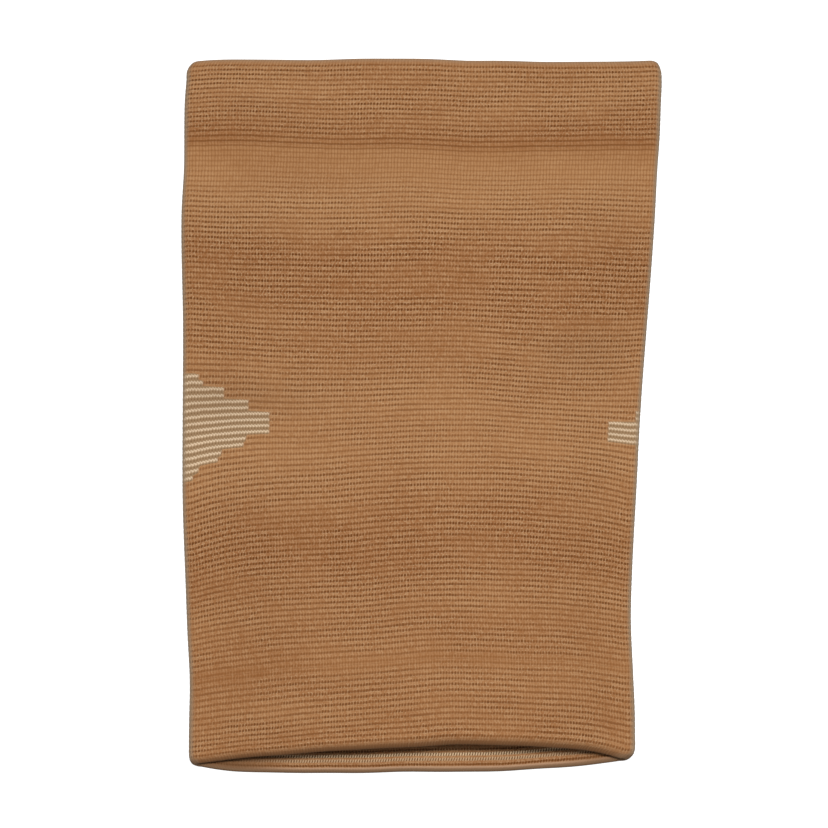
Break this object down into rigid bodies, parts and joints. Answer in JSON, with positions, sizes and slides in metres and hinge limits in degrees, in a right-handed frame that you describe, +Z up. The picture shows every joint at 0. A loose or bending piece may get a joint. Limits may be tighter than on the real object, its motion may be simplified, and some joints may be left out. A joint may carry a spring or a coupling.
{
  "type": "knee support",
  "caption": "Pull-on elastic knee support: a ribbed tan knitted tube with a turned cuff at either end and ivory stepped diamonds knitted into its sides, lying flat.",
  "frame": {"origin": "on the surface that the support lies on, under the middle of its box", "axes": "+Y along the leg towards the thigh end, +X across the flat tube to the right of its front, +Z up out of the front wall"},
  "size_m": [0.1708, 0.2602, 0.0155],
  "materials": {
    "tan_knit": "ribbed elastic knit in camel tan yarn, matt and slightly fuzzy",
    "cuff_knit": "denser ribbed welt in the same tan yarn, matt",
    "ivory_knit": "ivory yarn courses over a taupe ground, matt"
  },
  "bodies": {
    "root": {"knit_tube": "tan_knit", "upper_cuff": "cuff_knit", "lower_cuff": "cuff_knit", "left_diamond": "ivory_knit", "right_diamond": "ivory_knit"}
  },
  "joints": []
}
